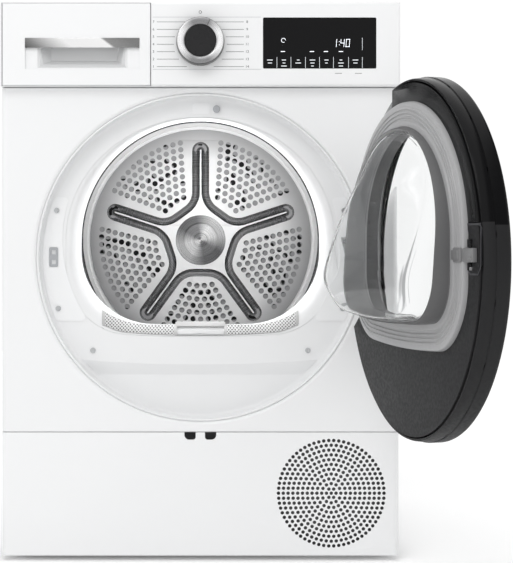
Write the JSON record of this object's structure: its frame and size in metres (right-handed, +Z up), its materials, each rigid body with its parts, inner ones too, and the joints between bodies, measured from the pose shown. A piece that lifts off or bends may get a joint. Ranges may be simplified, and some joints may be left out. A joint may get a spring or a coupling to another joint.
{
  "type": "clothes dryer",
  "caption": "Freestanding front-loading heat-pump clothes dryer with a round glass door on a side hinge, perforated drum, water drawer and lint filter.",
  "frame": {"origin": "on the floor under the middle of the cabinet", "axes": "+X to the right of someone in front, +Y to the back, +Z up"},
  "size_m": [0.6661, 1.0925, 0.842],
  "materials": {
    "white_steel": "smooth powder coat, semi-gloss",
    "white_plastic": "fine satin moulding",
    "shield_plastic": "satin moulding",
    "worktop_white": "satin laminate",
    "grey_plastic": "plain moulding",
    "dark_plastic": "plain moulding",
    "door_black": "piano black",
    "door_charcoal": "satin moulding",
    "ring_grey": "satin",
    "clear_glass": "polished",
    "smoked_glass": "polished, dark tint",
    "display_black": "gloss",
    "chrome_trim": "bright",
    "stainless": "fine brushed",
    "steel": "plain",
    "galvanised": "zinc coated sheet",
    "aluminium_fins": "plain fins",
    "compressor_black": "satin paint",
    "copper_pipe": "drawn copper",
    "board_green": "circuit board",
    "tank_plastic": "natural, slightly cloudy",
    "belt_rubber": "ribbed",
    "foot_rubber": "plain",
    "roller_rubber": "plain",
    "felt": "pressed felt"
  },
  "bodies": {
    "cabinet": {"base_carrier": "grey_plastic", "bearing_carrier": "galvanised", "bearing_shield": "shield_plastic", "compressor": "compressor_black", "condensate_pump": "white_plastic", "condenser": "aluminium_fins", "control_board": "board_green", "control_fascia": "white_plastic", "display_window": "display_black", "door_switch_cover": "white_plastic", "drain_spigot": "grey_plastic", "drive_belt": "belt_rubber", "drive_motor": "galvanised", "evaporator": "aluminium_fins", "fan_housing": "grey_plastic", "felt_seal": "felt", "filter_channel": "grey_plastic", "front_panel": "white_steel", "hinge_bracket": "steel", "idler_arm": "galvanised", "latch_receptacle": "grey_plastic", "left_side_panel": "white_steel", "levelling_feet": "foot_rubber", "mains_gland": "dark_plastic", "plinth_panel": "white_plastic", "rear_air_duct": "galvanised", "rear_bearing": "steel", "rear_panel": "galvanised", "recess_side_plates": "white_plastic", "refrigerant_pipes": "copper_pipe", "right_side_panel": "white_steel", "roller_axles": "steel", "shield_screws": "steel", "tank_tray": "grey_plastic", "worktop": "worktop_white"},
    "door": {"door_rim": "door_black", "door_glass": "smoked_glass", "door_inner_frame": "door_charcoal", "door_ring": "ring_grey", "glass_bowl": "clear_glass", "door_hook": "dark_plastic", "hinge_leaf": "steel"},
    "drum": {"drum_shell": "stainless", "drum_back": "stainless", "drum_lifters": "grey_plastic", "drum_shaft": "steel"},
    "left_roller": {"left_support_roller": "roller_rubber"},
    "right_roller": {"right_support_roller": "roller_rubber"},
    "motor_rotor": {"motor_shaft": "steel", "process_fan": "white_plastic"},
    "idler": {"idler_pulley": "steel"},
    "blower": {"cooling_fan": "dark_plastic"},
    "selector": {"selector_cap": "display_black", "selector_ring": "stainless"},
    "condensate_drawer": {"drawer_front": "white_plastic", "drawer_trim_bar": "chrome_trim", "condensate_tank": "tank_plastic"},
    "filter": {"lint_filter": "grey_plastic", "filter_handle": "white_plastic"},
    "door_switch": {"door_switch_plunger": "grey_plastic"}
  },
  "joints": [
    {"name": "door_hinge", "type": "hinge", "parent": "cabinet", "child": "door", "pos_m": [0.248, -0.3055, 0.457], "axis": [0, 0, 1], "range_deg": [-103.5, 71.5]},
    {"name": "drum_spin", "type": "hinge", "parent": "cabinet", "child": "drum", "pos_m": [0, 0, 0.483], "axis": [0, 1, 0], "continuous": true},
    {"name": "left_roller_spin", "type": "hinge", "parent": "cabinet", "child": "left_roller", "pos_m": [-0.16163, -0.1825, 0.22435], "axis": [0, 1, 0], "continuous": true},
    {"name": "right_roller_spin", "type": "hinge", "parent": "cabinet", "child": "right_roller", "pos_m": [0.16163, -0.1825, 0.22435], "axis": [0, 1, 0], "continuous": true},
    {"name": "motor_spin", "type": "hinge", "parent": "cabinet", "child": "motor_rotor", "pos_m": [0.2, 0.1, 0.2], "axis": [0, 1, 0], "continuous": true},
    {"name": "idler_spin", "type": "hinge", "parent": "cabinet", "child": "idler", "pos_m": [0.10911, 0, 0.17056], "axis": [0, 1, 0], "continuous": true},
    {"name": "cooling_fan_spin", "type": "hinge", "parent": "cabinet", "child": "blower", "pos_m": [0.197, -0.24, 0.102], "axis": [0, 1, 0], "continuous": true},
    {"name": "selector_turn", "type": "hinge", "parent": "cabinet", "child": "selector", "pos_m": [0, -0.31, 0.779], "axis": [0, -1, 0], "continuous": true},
    {"name": "drawer_slide", "type": "slide", "parent": "cabinet", "child": "condensate_drawer", "axis": [0, -1, 0], "range_m": [0, 0.42]},
    {"name": "filter_lift", "type": "slide", "parent": "cabinet", "child": "filter", "axis": [0, 0, 1], "range_m": [0, 0.09]},
    {"name": "door_switch_press", "type": "slide", "parent": "cabinet", "child": "door_switch", "axis": [0, 1, 0], "range_m": [0, 0.003], "stiffness_N_per_m": 400}
  ],
  "couplings": [
    {"joint": "left_roller_spin", "follows": "drum_spin", "ratio": -14.467},
    {"joint": "right_roller_spin", "follows": "drum_spin", "ratio": -14.467},
    {"joint": "motor_spin", "follows": "drum_spin", "ratio": 23.75},
    {"joint": "idler_spin", "follows": "drum_spin", "ratio": -15.833}
  ]
}
